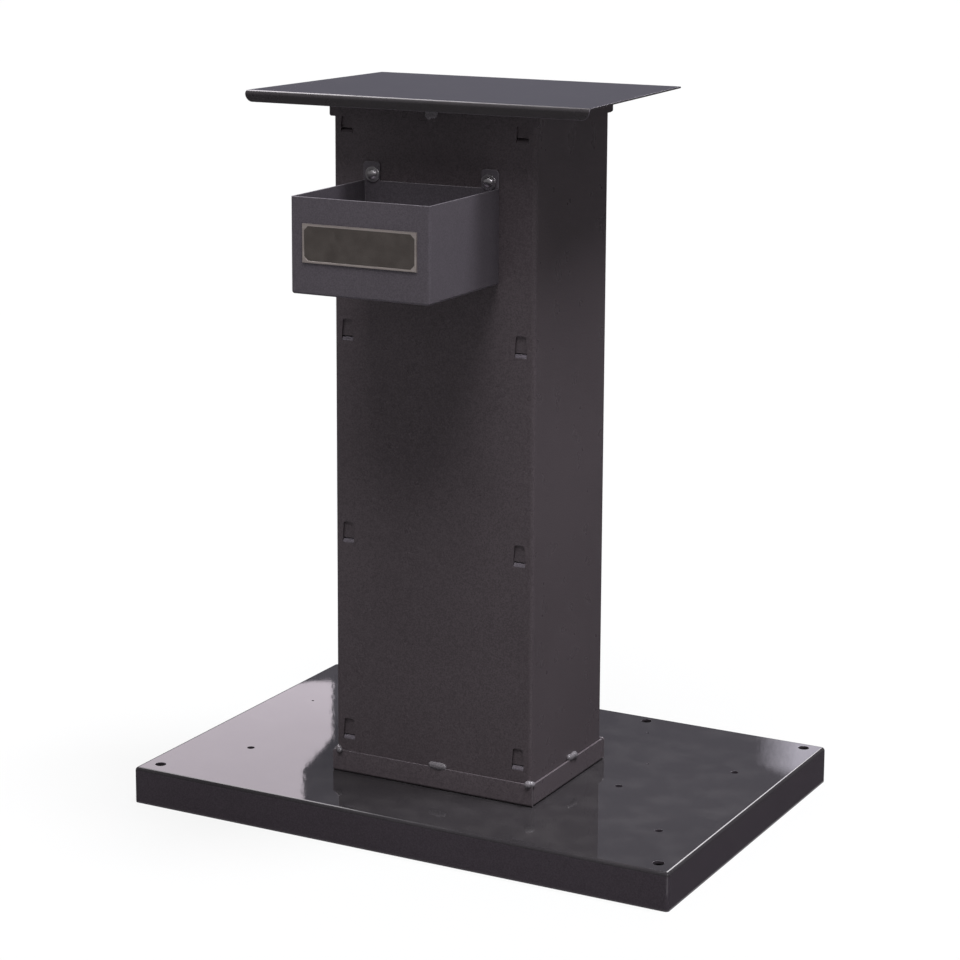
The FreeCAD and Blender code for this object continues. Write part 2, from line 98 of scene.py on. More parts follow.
class Graph:
    """Adds and joins the nodes of one material or of the world."""

    def __init__(self, tree: bpy.types.NodeTree) -> None:
        """Takes the node tree that the nodes go into, and empties it."""
        self.tree = tree
        self.tree.nodes.clear()

    def add(self, kind: str, inputs: dict[str | int, object] | None = None, **settings: object) -> Node:
        """Adds a node, sets its own properties and feeds its inputs.

        Args:
            kind: the node's type name.
            inputs: what goes into its inputs, by their names or numbers.
            settings: property names and their values.

        Returns:
            The new node.
        """
        node = self.tree.nodes.new(kind)
        for name, value in settings.items():
            setattr(node, name, value)
        for name, value in (inputs or {}).items():
            self.feed(node.inputs[name], value)
        return node

    def feed(self, target: Socket, value: object) -> None:
        """Links a socket, or sets the input's own value.

        Args:
            target: the input socket.
            value: an output socket, a number or a colour.
        """
        if isinstance(value, Socket):
            self.tree.links.new(value, target)
        elif isinstance(value, tuple) and len(value) == 3 and target.type == "RGBA":
            target.default_value = (*value, 1.0)
        else:
            target.default_value = value

    def place(self, stretch: Triple = (1.0, 1.0, 1.0)) -> Socket:
        """Gives object coordinates in metres, stretched along each axis."""
        where = self.add("ShaderNodeTexCoord").outputs["Object"]
        return self.add("ShaderNodeMapping", {"Vector": where, "Scale": stretch}).outputs["Vector"]

    def noise(self, where: Socket, per_metre: float, detail: float) -> Socket:
        """Gives a noise of about 0 to 1, by its features in a metre and its number of finer layers."""
        inputs = {"Vector": where, "Scale": per_metre, "Detail": detail}
        return self.add("ShaderNodeTexNoise", inputs).outputs["Fac"]

    def cells(self, where: Socket, per_metre: float) -> Socket:
        """Gives the distance to the nearest of so many scattered points in a metre, in cell widths."""
        return self.add("ShaderNodeTexVoronoi", {"Vector": where, "Scale": per_metre}).outputs["Distance"]

    def spread(self, value: Socket, source: Span, target: Span) -> Socket:
        """Maps the source's range of values to the target's, and stops at its ends."""
        ends = {"From Min": source[0], "From Max": source[1], "To Min": target[0], "To Max": target[1]}
        return self.add("ShaderNodeMapRange", {"Value": value, **ends}).outputs["Result"]

    def combine(self, operation: str, first: object, second: object) -> Socket:
        """Works out one value from two sockets or numbers, by an operation of the Math node."""
        return self.add("ShaderNodeMath", {0: first, 1: second}, operation=operation).outputs["Value"]

    def blend(self, share: Socket, first: object, second: object) -> Socket:
        """Mixes two colours or sockets. The share is that of the second."""
        inputs = {MIX_SHARE: share, MIX_FIRST: first, MIX_SECOND: second}
        return self.add("ShaderNodeMix", inputs, data_type="RGBA").outputs[MIX_RESULT]

    def relief(self, height: Socket, depth: float, below: Socket | None = None) -> Socket:
        """Turns a height into a bumped normal.

        Args:
            height: the height from 0 to 1.
            depth: the depth of the relief in metres.
            below: the normal of a coarser relief, if there is one.

        Returns:
            The normal.
        """
        inputs = {"Strength": 1.0, "Distance": depth, "Height": height}
        if below is not None:
            inputs["Normal"] = below
        return self.add("ShaderNodeBump", inputs).outputs["Normal"]

    def upward(self, slopes: Span = (0.5, 0.95)) -> Socket:
        """Gives 1 on faces that look up and 0 on upright ones.

        Args:
            slopes: the height of the normal at which the value starts to rise, and where it is whole.

        Returns:
            The value.
        """
        normal = self.add("ShaderNodeNewGeometry").outputs["True Normal"]
        height = self.add("ShaderNodeSeparateXYZ", {"Vector": normal}).outputs["Z"]
        return self.spread(height, slopes, WHOLE)

    def surface(self, shader: Socket, kind: str = "ShaderNodeOutputMaterial") -> None:
        """Makes a shader's output the surface of the material or, with its kind of node, of the world."""
        self.add(kind, {"Surface": shader})


def new_material(name: str) -> tuple[bpy.types.Material, Graph]:
    """Makes an empty material.

    Args:
        name: the material's name.

    Returns:
        The material and its graph.
    """
    material = bpy.data.materials.new(name)
    material.use_nodes = True
    return material, Graph(material.node_tree)


# ---------------- finishes


@dataclass(frozen=True)
class Finish:
    """A finish that wanders between two colours, and between two values of roughness."""

    name: str
    shade: Colour
    light: Colour
    roughness: Span

    def make(self) -> bpy.types.Material:
        """Builds the finish's material.

        Returns:
            The material.
        """
        material, graph = new_material(self.name)
        shader = graph.add("ShaderNodeBsdfPrincipled")
        self.fill(graph, shader)
        graph.surface(shader.outputs["BSDF"])
        return material

    def fill(self, graph: Graph, shader: Node) -> None:
        """Sets the shader's inputs; each kind of finish has a way of its own."""
        raise NotImplementedError


@dataclass(frozen=True)
class Enamel(Finish):
    """Sprayed enamel on sheet steel, with orange peel, soft mottling and a little dust."""

    gloss: float = 0.25
    peel_per_metre: float = 400.0
    peel_depth: float = 9e-6
    grain_depth: float = 2e-6
    dust: float = 0.05
    dust_colour: Colour = (0.16, 0.15, 0.15)
    cloud_per_metre: float = 6.0
    mottle_per_metre: float = 640.0
    mottle_share: float = 0.75
    patches_per_metre: float = 26.0
    patches_from: Span = (0.45, 0.75)
    specks_per_metre: float = 260.0
    speck_size: Span = (0.03, 0.09)
    speck_strength: float = 6.0
    wipes_per_metre: float = 34.0
    grain_per_metre: float = 1900.0

    def fill(self, graph: Graph, shader: Node) -> None:
        """Sprays the enamel.

        Args:
            graph: the material's graph.
            shader: its shader.
        """
        where = graph.place()
        cloud = graph.noise(where, self.cloud_per_metre, detail=4.0)
        cloud = graph.combine("MULTIPLY", cloud, 1 - self.mottle_share)
        mottle = graph.noise(where, self.mottle_per_metre, detail=1.0)
        mottle = graph.combine("MULTIPLY", mottle, self.mottle_share)
        share = graph.spread(graph.combine("ADD", cloud, mottle), NOISE_CORE, WHOLE)
        paint = graph.blend(share, self.shade, self.light)
        patches = graph.noise(where, self.patches_per_metre, detail=5.0)
        patches = graph.spread(patches, self.patches_from, (0.0, self.dust))
        specks = graph.cells(where, self.specks_per_metre)
        specks = graph.spread(specks, self.speck_size, (self.speck_strength * self.dust, 0.0))
        settled = graph.combine("MULTIPLY", graph.combine("ADD", patches, specks), graph.upward())
        graph.feed(shader.inputs["Base Color"], graph.blend(settled, paint, self.dust_colour))
        wipes = graph.noise(where, self.wipes_per_metre, detail=2.0)
        graph.feed(shader.inputs["Roughness"], graph.spread(wipes, NOISE_BODY, self.roughness))
        shader.inputs["Specular IOR Level"].default_value = self.gloss
        peel = graph.relief(graph.noise(where, self.peel_per_metre, detail=1.0), self.peel_depth)
        grain = graph.relief(graph.noise(where, self.grain_per_metre, detail=1.0), self.grain_depth, peel)
        graph.feed(shader.inputs["Normal"], grain)


@dataclass(frozen=True)
class Metal(Finish):
    """Bare or plated metal with a fine brushed or matt surface."""

    metallic: float = 1.0
    stretch: Triple = (1.0, 1.0, 1.0)
    per_metre: float = 900.0
    depth: float = 4e-6
    flecks_per_stain: float = 12.0

    def fill(self, graph: Graph, shader: Node) -> None:
        """Brushes or plates the metal.

        Args:
            graph: the material's graph.
            shader: its shader.
        """
        where = graph.place(self.stretch)
        fleck = graph.noise(where, self.per_metre, detail=3.0)
        stain = graph.noise(where, self.per_metre / self.flecks_per_stain, detail=3.0)
        mean = graph.combine("MULTIPLY", graph.combine("ADD", fleck, stain), 0.5)
        share = graph.spread(mean, NOISE_CORE, WHOLE)
        graph.feed(shader.inputs["Base Color"], graph.blend(share, self.shade, self.light))
        graph.feed(shader.inputs["Roughness"], graph.spread(stain, NOISE_BODY, self.roughness))
        shader.inputs["Metallic"].default_value = self.metallic
        graph.feed(shader.inputs["Normal"], graph.relief(fleck, self.depth))


CHARCOAL = Enamel("charcoal_enamel", (0.046, 0.0375, 0.042), (0.070, 0.0575, 0.064), (0.27, 0.30))
# The foot pan's paint: the column's paint made lighter, as painted light on the pan.
PAN_CHARCOAL_PAINTED_LIGHT = Enamel("charcoal_enamel_pan_painted_light", (0.056, 0.046, 0.052), (0.086, 0.071, 0.079), (0.26, 0.30))
# The base plate's top: its own glossier paint, with its colour made far darker than the column's as painted
# shade.
BASE_CHARCOAL_PAINTED_SHADE = Enamel(
    "charcoal_enamel_base_painted_shade", (0.0165, 0.0148, 0.0164), (0.0227, 0.0206, 0.0225), (0.012, 0.022),
    peel_per_metre=300.0, peel_depth=2.4e-6, grain_depth=1.5e-7, dust=0.06,
)
# The base plate's upright lips: the base's paint made lighter than on its top, as painted light.
LIP_CHARCOAL_PAINTED_LIGHT = Enamel("charcoal_enamel_lip_painted_light", (0.0305, 0.0250, 0.0305), (0.0415, 0.0345, 0.0415), (0.16, 0.20))
# The top plate: the column's paint made far darker, as painted shade.
TOP_CHARCOAL_PAINTED_SHADE = Enamel(
    "charcoal_enamel_top_painted_shade", (0.0136, 0.0121, 0.0134), (0.0188, 0.0166, 0.0186), (0.05, 0.07),
    grain_depth=3e-7, dust=0.03,
)
# The top plate's lip, bend and cut sides: rougher paint, with its colour made darker than the column's as
# painted shade, a little lighter than the top.
BEND_CHARCOAL_PAINTED_SHADE = Enamel(
    "charcoal_enamel_bend_painted_shade", (0.018, 0.0156, 0.0174), (0.0265, 0.0230, 0.0252), (0.26, 0.32), gloss=0.6,
)
# The tray's rim: a near-white copy of the paint, a painted highlight along the tray's mouth.
RIM_PAINTED_HIGHLIGHT = Enamel(
    "charcoal_enamel_rim_painted_highlight", (0.300, 0.280, 0.305), (0.480, 0.450, 0.490), (0.20, 0.30), gloss=0.6,
)
# The tray: the column's paint made lighter, as painted light on the tray.
TRAY_CHARCOAL_PAINTED_LIGHT = Enamel(
    "charcoal_enamel_tray_painted_light", (0.061, 0.0535, 0.063), (0.0855, 0.0750, 0.0875), (0.28, 0.32), dust=0.04,
)
# Lighter, glossier paint on broken edges: partly paint worn thin, partly painted highlight. On the column's
# window cuts it is painted highlight only.
EDGE_WEAR_AND_HIGHLIGHT = Enamel(
    "charcoal_enamel_edge_wear_and_highlight", (0.061, 0.053, 0.063), (0.110, 0.097, 0.114), (0.14, 0.24), gloss=0.5,
)
# Pale paint on the broken edges of the base, the foot pan and the tray: partly paint worn thin, partly painted
# glints on hole rims, lip tops and rims.
WORN_EDGE_AND_GLINT = Enamel(
    "charcoal_enamel_worn_and_glint", (0.110, 0.100, 0.112), (0.200, 0.186, 0.205), (0.18, 0.30), gloss=0.5,
)
# The tack welds: the stand's paint made about twice as light, as painted light in place of the sheen on the
# beads.
WELD_CHARCOAL_PAINTED_LIGHT = Enamel(
    "weld_enamel_painted_light", (0.078, 0.071, 0.078), (0.145, 0.133, 0.145), (0.08, 0.16),
    gloss=0.7, peel_depth=4e-5,
)
ZINC = Metal("bright_zinc", (0.60, 0.58, 0.60), (0.76, 0.74, 0.76), (0.24, 0.32), per_metre=300.0, depth=2e-7)
PLATE_RIM = Metal(
    "nameplate_rim", (0.25, 0.215, 0.205), (0.33, 0.29, 0.275), (0.34, 0.46),
    metallic=0.35, stretch=(0.06, 1.0, 1.0),
)
PLATE_FIELD = Metal(
    "nameplate_field", (0.053, 0.044, 0.040), (0.075, 0.063, 0.057), (0.36, 0.50), metallic=0.1, depth=8e-6,
)


class Paints:
    """Makes each finish's material once, and gives it to pieces."""

    def __init__(self) -> None:
        """Starts with no material made."""
        self.made: dict[str, bpy.types.Material] = {}

    def coat(self, piece: Piece, *finishes: Finish) -> None:
        """Gives a piece its materials, one for each slot.

        Args:
            piece: the piece.
            finishes: the finishes in the order of the slots.
        """
        while len(piece.data.materials) < len(finishes):
            piece.data.materials.append(None)
        for slot, finish in zip(piece.material_slots, finishes):
            if finish.name not in self.made:
                self.made[finish.name] = finish.make()
            slot.material = self.made[finish.name]

    def coat_nodes(self, finish: Finish, *nodes: str) -> None:
        """Gives one finish to solids that otherwise stay as they are."""
        for node in nodes:
            self.coat(NODES[node], finish)


PAINTS = Paints()


# ---------------- modelling by hand


def activate(piece: Piece) -> None:
    """Makes a piece the only one selected.

    Args:
        piece: the piece.
    """
    bpy.ops.object.select_all(action="DESELECT")
    piece.select_set(True)
    bpy.context.view_layer.objects.active = piece


def take_new(name: str) -> Piece:
    """Names the object that the last operator made.

    Args:
        name: the new name.

    Returns:
        The object.
    """
    piece = bpy.context.view_layer.objects.active
    piece.name = name
    piece.data.name = name
    return piece


def pick(piece: Piece, kind: Element, wanted: Callable[[object], bool]) -> None:
    """Selects the elements of a mesh that a test names, and opens edit mode on them.

    Args:
        piece: the piece.
        kind: the kind of element.
        wanted: says of a vertex, an edge or a face whether it is selected.
    """
    mode, elements = kind.value
    activate(piece)
    bpy.ops.object.mode_set(mode="EDIT")
    bpy.ops.mesh.select_mode(type=mode)
    bpy.ops.mesh.select_all(action="DESELECT")
    leave_edit()
    for element in getattr(piece.data, elements):
        element.select = wanted(element)
    bpy.ops.object.mode_set(mode="EDIT")


def leave_edit() -> None:
    """Goes back to object mode."""
    bpy.ops.object.mode_set(mode="OBJECT")


def modify(piece: Piece, kind: str, **settings: object) -> None:
    """Adds a modifier to a piece and applies it.

    Args:
        piece: the piece.
        kind: the modifier's type name.
        settings: its property names and their values.
    """
    modifier = piece.modifiers.new(kind.lower(), kind)
    for name, value in settings.items():
        setattr(modifier, name, value)
    activate(piece)
    bpy.ops.object.modifier_apply(modifier=modifier.name)


def settle(piece: Piece) -> None:
    """Moves the piece's place, turn and scale into its mesh."""
    activate(piece)
    bpy.ops.object.transform_apply(location=True, rotation=True, scale=True)


def soften(piece: Piece, angle: float = math.radians(32)) -> None:
    """Shades the piece smooth across edges flatter than an angle."""
    activate(piece)
    bpy.ops.object.shade_smooth_by_angle(angle=angle)


def copy_to(source: Piece, name: str, place: Matrix) -> Piece:
    """Copies a piece with a mesh of its own and moves the copy's mesh.

    Args:
        source: the piece that is copied.
        name: the copy's name.
        place: where the copy's mesh goes.

    Returns:
        The copy.
    """
    piece = bpy.data.objects.new(name, source.data.copy())
    bpy.context.scene.collection.objects.link(piece)
    piece.data.transform(place)
    return piece


def join_pieces(pieces: Sequence[Piece], name: str) -> Piece:
    """Joins pieces into one object.

    Args:
        pieces: the pieces.
        name: the joined piece's name.

    Returns:
        The joined piece.
    """
    bpy.ops.object.select_all(action="DESELECT")
    for piece in pieces:
        piece.select_set(True)
    bpy.context.view_layer.objects.active = pieces[0]
    bpy.ops.object.join()
    return take_new(name)


def join_copies(pattern: Piece, places: Sequence[Matrix], name: str) -> Piece:
    """Copies a pattern to each place, joins the copies and removes the pattern.

    Args:
        pattern: the piece that repeats.
        places: where the copies go.
        name: the joined piece's name.

    Returns:
        The joined piece.
    """
    copies = [copy_to(pattern, "copy", place) for place in places]
    bpy.data.objects.remove(pattern)
    return join_pieces(copies, name)


def mount(piece: Piece, slot: str, *nodes: str) -> None:
    """Puts a finished piece on the stand's one body, in place of its solids.

    Args:
        piece: the finished piece.
        slot: the record's material slot. It is not used.
        nodes: the solids that it stands for.
    """
    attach(piece, "root")
    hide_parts(*nodes)
    LOG.info("%s: %d faces, stands for %s", piece.name, len(piece.data.polygons), ", ".join(nodes))


@dataclass(frozen=True)
class SheetDresser:
    """Breaks the sharp edges of a folded sheet and gives them a lighter paint, partly paint worn thin and
    partly painted highlight.
    """

    edge_width: float = 0.35 * MM
    sharp_from: float = math.radians(40)
    segments: int = 2
    flat_within: float = math.radians(0.4)
    weld_distance: float = 0.002 * MM

    def dress(
        self, node: str, slot: str, body: Finish, edge: Finish,
        other: Finish | None = None, is_other: Callable[[Face], bool] | None = None,
    ) -> None:
        """Makes the dressed copy of a solid and mounts it.

        Args:
            node: the solid's name.
            slot: the record's material slot.
            body: the finish of the faces.
            edge: the finish of the broken edges.
            other: the finish of some of the faces, if they have one of their own.
            is_other: says of a face whether it is one of those.
        """
        piece = copy_to(NODES[node], node + "_dressed", Matrix.Identity(4))
        self._merge(piece)
        PAINTS.coat(piece, body, edge, *([other] if other else []))
        for face in piece.data.polygons:
            face.material_index = 2 if is_other and is_other(face) else 0
        modify(
            piece, "BEVEL", width=self.edge_width, segments=self.segments,
            limit_method="ANGLE", angle_limit=self.sharp_from, material=1, use_clamp_overlap=True,
        )
        soften(piece)
        modify(piece, "WEIGHTED_NORMAL", keep_sharp=True)
        mount(piece, slot, node)

    def _merge(self, piece: Piece) -> None:
        """Joins the loose triangles of the copy into whole faces.

        Args:
            piece: the copy.
        """
        activate(piece)
        bpy.ops.object.mode_set(mode="EDIT")
        bpy.ops.mesh.select_all(action="SELECT")
        bpy.ops.mesh.remove_doubles(threshold=self.weld_distance)
        bpy.ops.mesh.dissolve_limited(angle_limit=self.flat_within)
        leave_edit()
        bpy.ops.mesh.customdata_custom_splitnormals_clear()


# ---------------- fasteners and welds


@dataclass(frozen=True)
class PanHeadScrew:
    """A pan head screw with a cross recess, its head looking along +Z from the origin."""

    head_radius: float
    head_height: float
    shank_radius: float
    shank_length: float
    recess_width: float = 0.8 * MM
    recess_length: float = 3.6 * MM
    recess_depth: float = 0.9 * MM
    recess_taper: Triple = (0.5, 0.7, 1.0)
    recess_turn: float = math.radians(40)
    sides: int = 48

    def build(self, name: str) -> Piece:
        """Models the screw.

        Args:
            name: the piece's name.

        Returns:
            The screw.
        """
        bpy.ops.mesh.primitive_uv_sphere_add(segments=self.sides, ring_count=self.sides // 2, radius=1.0)
        screw = take_new(name)
        screw.scale = (self.head_radius, self.head_radius, self.head_height)
        settle(screw)
        bpy.ops.object.mode_set(mode="EDIT")
        bpy.ops.mesh.select_all(action="SELECT")
        bpy.ops.mesh.bisect(plane_co=ORIGIN, plane_no=(0.0, 0.0, 1.0), use_fill=True, clear_inner=True)
        leave_edit()
        pick(screw, Element.FACES, self._looks_down)
        bpy.ops.mesh.inset(thickness=self.head_radius - self.shank_radius)
        bpy.ops.mesh.extrude_region_move(TRANSFORM_OT_translate={"value": (0.0, 0.0, -self.shank_length)})
        leave_edit()
        for turn in (self.recess_turn, self.recess_turn + QUARTER_TURN):
            self._cut_slot(screw, turn)
        soften(screw)
        return screw

    @staticmethod
    def _looks_down(face: Face) -> bool:
        """Says whether a face looks straight down."""
        return face.normal.z < -SQUARE_ON

    def _cut_slot(self, screw: Piece, turn: float) -> None:
        """Cuts one slot of the cross recess with a tapered wedge.

        Args:
            screw: the screw.
            turn: the slot's turn about the screw's axis.
        """
        bpy.ops.mesh.primitive_cube_add(size=1.0, location=(0.0, 0.0, self.head_height))
        wedge = take_new("recess_wedge")
        wedge.scale = (self.recess_length, self.recess_width, 2 * self.recess_depth)
        settle(wedge)
        pick(wedge, Element.FACES, self._looks_down)
        bpy.ops.transform.resize(value=self.recess_taper)
        leave_edit()
        wedge.rotation_euler = (0.0, 0.0, turn)
        settle(wedge)
        modify(screw, "BOOLEAN", operation="DIFFERENCE", solver="EXACT", object=wedge)
        bpy.data.objects.remove(wedge)


@dataclass(frozen=True)
class WeldBead:
    """A short tack weld: round ripples melted into one bead along X, on a corner at the origin."""

    length: float
    width: float
    height: float
    ripples: int
    voxel: float = 0.45 * MM
    overlap: float = 1.15
    swelling: float = 0.10
    swell_step: float = 2.3
    wandering: float = 0.04
    wander_step: float = 1.7
    lean: float = math.radians(14)
    drop_sides: int = 24
    smoothing: float = 0.5
    smoothings: int = 7

    def build(self, name: str) -> Piece:
        """Models the bead.

        Args:
            name: the piece's name.

        Returns:
            The bead.
        """
        bead = join_pieces([self._lay_drop(index) for index in range(self.ripples)], name)
        modify(bead, "REMESH", mode="VOXEL", voxel_size=self.voxel)
        modify(bead, "SMOOTH", factor=self.smoothing, iterations=self.smoothings)
        bpy.ops.object.shade_smooth()
        return bead

    def _lay_drop(self, index: int) -> Piece:
        """Makes one ripple of the bead; each differs a little from the last in size and place.

        Args:
            index: the ripple's number along the bead.

        Returns:
            The ripple.
        """
        pitch = self.length / self.ripples
        swell = 1.0 + self.swelling * math.sin(self.swell_step * index + self.ripples)
        wander = self.wandering * self.width * math.cos(self.wander_step * index)
        sides = self.drop_sides
        bpy.ops.mesh.primitive_uv_sphere_add(segments=sides, ring_count=sides // 2, radius=1.0)
        drop = take_new("drop")
        drop.location = ((index - (self.ripples - 1) / 2) * pitch, wander, 0.0)
        drop.scale = (pitch * self.overlap, self.width / 2 * swell, self.height / 2 * swell)
        drop.rotation_euler = (0.0, self.lean, 0.0)
        settle(drop)
        return drop


# ---------------- sub-assemblies


@dataclass
class Foot:
    """The drilled base plate with the foot pan, its bolts and its tack welds."""

    dresser: SheetDresser = SheetDresser()
    pan_dresser: SheetDresser = SheetDresser(edge_width=1.1 * MM, segments=3)
    front_bead: WeldBead = WeldBead(18 * MM, 6.8 * MM, 9.0 * MM, 4)
    side_bead: WeldBead = WeldBead(16 * MM, 6.8 * MM, 9.0 * MM, 3)
    corner_bead: WeldBead = WeldBead(8 * MM, 7.6 * MM, 8.6 * MM, 2)
    bead_rise: float = 1.8 * MM
    left_corner_inset: float = 6.0 * MM
    right_corner_inset: float = 2.0 * MM
    front_bead_x: float = 5.5 * MM
    side_bead_y: float = 4.5 * MM
    upright_within: float = 0.1

    def build(self) -> None:
        """Models and mounts the foot's pieces."""
        # The base plate's top takes the darkened base paint as painted shade, its upright lips the lighter lip
        # paint as painted light, and its edges and hole rims the pale edge paint, partly as painted glints.
        self.dresser.dress(
            "base_plate", "charcoal_paint", BASE_CHARCOAL_PAINTED_SHADE, WORN_EDGE_AND_GLINT, LIP_CHARCOAL_PAINTED_LIGHT, self._is_lip
        )
        # The foot pan takes the lighter pan paint as painted light, and the pale edge paint, which gives
        # painted glints on its lip tops.
        self.pan_dresser.dress("foot_pan", "charcoal_paint", PAN_CHARCOAL_PAINTED_LIGHT, WORN_EDGE_AND_GLINT)
        self._build_beads()
        PAINTS.coat_nodes(ZINC, "foot_bolts", "foot_bolt_washers", "foot_bolt_nuts")

    def _is_lip(self, face: Face) -> bool:
        """Says whether a face is upright, as the base plate's lips are."""
        return abs(face.normal.z) < self.upright_within

    def _build_beads(self) -> None:
        """Lays the beads along the top of the foot pan's lips."""
        low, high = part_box("foot_pan")
        wall_low, wall_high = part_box("column_wrap")
        front = (low.y + wall_low.y) / 2
        right = (high.x + wall_high.x) / 2
        left = (low.x + wall_low.x) / 2
        level = high.z + self.bead_rise
        quarter = Matrix.Rotation(QUARTER_TURN, 4, "Z")
        eighth = Matrix.Rotation(QUARTER_TURN / 2, 4, "Z")
        left_corner = Matrix.Translation((left + self.left_corner_inset, front, high.z))
        right_corner = Matrix.Translation((right - self.right_corner_inset, front, high.z))
        spots = [
            (self.front_bead, Matrix.Translation((self.front_bead_x, front, level))),
            (self.side_bead, Matrix.Translation((right, self.side_bead_y, level)) @ quarter),
            (self.side_bead, Matrix.Translation((left, self.side_bead_y, level)) @ quarter),
            (self.corner_bead, left_corner @ eighth.inverted()),
            (self.corner_bead, right_corner @ eighth),
        ]
        beads = []
        for bead, place in spots:
            piece = bead.build("bead")
            piece.data.transform(place)
            beads.append(piece)
        welds = join_pieces(beads, "foot_weld_beads")
        PAINTS.coat(welds, WELD_CHARCOAL_PAINTED_LIGHT)
        mount(welds, "painted_weld", "foot_tack_welds")


@dataclass
class Column:
    """The folded column with its corner stiffeners, rear cover and screws."""

    dresser: SheetDresser = SheetDresser(edge_width=0.25 * MM)
    cover_screw: PanHeadScrew = PanHeadScrew(4.75 * MM, 3.0 * MM, 2.4 * MM, 12.0 * MM)
    cut_area: float = 120 * MM * MM
    cut_slope: float = 0.2
    shaded_from: float = 0.70

    def build(self) -> None:
        """Models and mounts the column's pieces."""
        # The upward cuts and tab bends of the lower windows take the lighter edge paint as a painted highlight;
        # those in the top plate's shade keep the body paint.
        self.dresser.dress(
            "column_wrap", "charcoal_paint", CHARCOAL, CHARCOAL, EDGE_WEAR_AND_HIGHLIGHT, self._gets_painted_highlight
        )
        self.dresser.dress("rear_cover", "charcoal_paint", CHARCOAL, EDGE_WEAR_AND_HIGHLIGHT)
        PAINTS.coat_nodes(CHARCOAL, "left_corner_stiffener", "right_corner_stiffener")
        PAINTS.coat_nodes(ZINC, "cover_weld_nuts")
        self._build_cover_screws()

    def _gets_painted_highlight(self, face: Face) -> bool:
        """Says whether a face is a small cut or bend that looks up, below the shade of the top plate; these
        faces get the lighter edge paint as a painted highlight.
        """
        looks_up = face.normal.z > self.cut_slope
        return looks_up and face.area < self.cut_area and face.center.z < self.shaded_from

    def _build_cover_screws(self) -> None:
        """Puts six screws into the rear cover's edges."""
        low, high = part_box("cover_screws")
        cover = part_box("rear_cover")[1].y
        inset = self.cover_screw.head_radius
        columns = (low.x + inset, high.x - inset)
        rows = (low.z + inset, (low.z + high.z) / 2, high.z - inset)
        turned = Matrix.Rotation(Facing.BACK.value, 4, "X")
        places = [Matrix.Translation((x, cover, z)) @ turned for x in columns for z in rows]
        screws = join_copies(self.cover_screw.build("cover_screw_pattern"), places, "cover_pan_head_screws")
        PAINTS.coat(screws, ZINC)
        mount(screws, "zinc_plated_steel", "cover_screws")


@dataclass
class Head:
    """The head pan with its plug welds, and the lipped top plate with its studs."""

    dresser: SheetDresser = SheetDresser()
    button: WeldBead = WeldBead(10.4 * MM, 6.6 * MM, 15.4 * MM, 2)
    level_from: float = 0.985

    def build(self) -> None:
        """Models and mounts the head's pieces."""
        self.dresser.dress("head_pan", "charcoal_paint", CHARCOAL, EDGE_WEAR_AND_HIGHLIGHT)
        # The top plate takes the darkened top paint, and its lip, bend and cut sides the darkened, rougher bend
        # paint: both are painted shade.
        self.dresser.dress(
            "top_plate", "charcoal_paint", TOP_CHARCOAL_PAINTED_SHADE, EDGE_WEAR_AND_HIGHLIGHT, BEND_CHARCOAL_PAINTED_SHADE, self._is_bend
        )
        PAINTS.coat_nodes(ZINC, "top_plate_studs", "stud_washers", "stud_nuts")
        self._build_buttons()

    def _is_bend(self, face: Face) -> bool:
        """Says whether a face of the top plate belongs to its lip, its bend or its cut sides."""
        return abs(face.normal.z) < self.level_from

    def _build_buttons(self) -> None:
        """Puts a plug weld's button on the front lip of the head pan and on each side lip."""
        low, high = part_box("head_pan")
        weld_low, weld_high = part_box("head_tack_welds")
        middle_x = (low.x + high.x) / 2
        middle_y = (low.y + high.y) / 2
        level = (weld_low.z + weld_high.z) / 2
        quarter = Matrix.Rotation(QUARTER_TURN, 4, "Z")
        places = [
            Matrix.Translation((middle_x, low.y, level)),
            Matrix.Translation((high.x, middle_y, level)) @ quarter,
            Matrix.Translation((low.x, middle_y, level)) @ quarter,
        ]
        welds = join_copies(self.button.build("button_pattern"), places, "head_weld_buttons")
        PAINTS.coat(welds, WELD_CHARCOAL_PAINTED_LIGHT)
        mount(welds, "painted_weld", "head_tack_welds")


@dataclass
class PartsTray:
    """The open tray with its two screws and washers."""

    dresser: SheetDresser = SheetDresser(edge_width=0.75 * MM, segments=3)
    washer_dresser: SheetDresser = SheetDresser(edge_width=1.1 * MM, segments=4)
    screw: PanHeadScrew = PanHeadScrew(6.0 * MM, 3.6 * MM, 2.9 * MM, 16.0 * MM)
    rim_area: float = 700 * MM * MM

    def build(self) -> None:
        """Models and mounts the tray's pieces."""
        # The tray takes the lighter tray paint as painted light, the pale edge paint on its broken edges, and
        # the near-white rim paint as a painted highlight on its rim.
        self.dresser.dress(
            "parts_tray", "charcoal_paint", TRAY_CHARCOAL_PAINTED_LIGHT, WORN_EDGE_AND_GLINT, RIM_PAINTED_HIGHLIGHT, self._is_rim
        )
        self.washer_dresser.dress("tray_washers", "zinc_plated_steel", ZINC, ZINC)
        PAINTS.coat_nodes(ZINC, "tray_nuts")
        self._build_screws()

    def _is_rim(self, face: Face) -> bool:
        """Says whether a face is a narrow one that looks up, as the rim round the tray's mouth does."""
        return face.area < self.rim_area and face.normal.z > SQUARE_ON

    def _build_screws(self) -> None:
        """Puts a screw through each ear of the tray."""
        low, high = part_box("tray_screws")
        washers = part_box("tray_washers")[0].y
        middle = (low.z + high.z) / 2
        inset = self.screw.head_radius
        turned = Matrix.Rotation(Facing.FRONT.value, 4, "X")
        places = [Matrix.Translation((x, washers, middle)) @ turned for x in (low.x + inset, high.x - inset)]
        screws = join_copies(self.screw.build("tray_screw_pattern"), places, "tray_pan_head_screws")
        PAINTS.coat(screws, ZINC)
        mount(screws, "zinc_plated_steel", "tray_screws")


